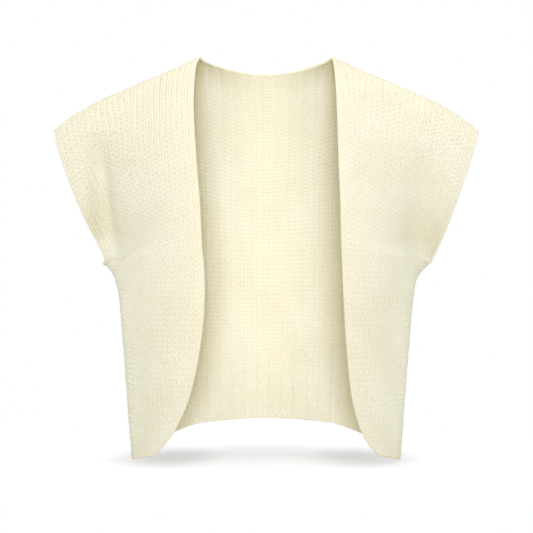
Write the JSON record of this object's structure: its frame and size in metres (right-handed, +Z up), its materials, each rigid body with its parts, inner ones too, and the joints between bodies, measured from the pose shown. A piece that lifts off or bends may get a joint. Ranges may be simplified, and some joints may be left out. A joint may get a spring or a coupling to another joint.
{
  "type": "knitted open-front cap-sleeve shrug",
  "caption": "Cropped hip-clear knitted shrug with an open front, rounded front corners and cap sleeves cut in one with the body, holding its worn shape.",
  "frame": {"origin": "midway between the two high shoulder points, level with them, where the wearer's shoulders carry the garment", "axes": "+X towards the viewer's right across the shoulders, +Y from the open front towards the back, +Z up"},
  "size_m": [0.5756, 0.2169, 0.5436],
  "materials": {
    "cream_knit": "soft chunky cream stocking-stitch knit, purl side inwards, with a few tiny clear sequins"
  },
  "bodies": {
    "root": {"back": "cream_knit", "left_front": "cream_knit", "right_front": "cream_knit"}
  },
  "joints": []
}
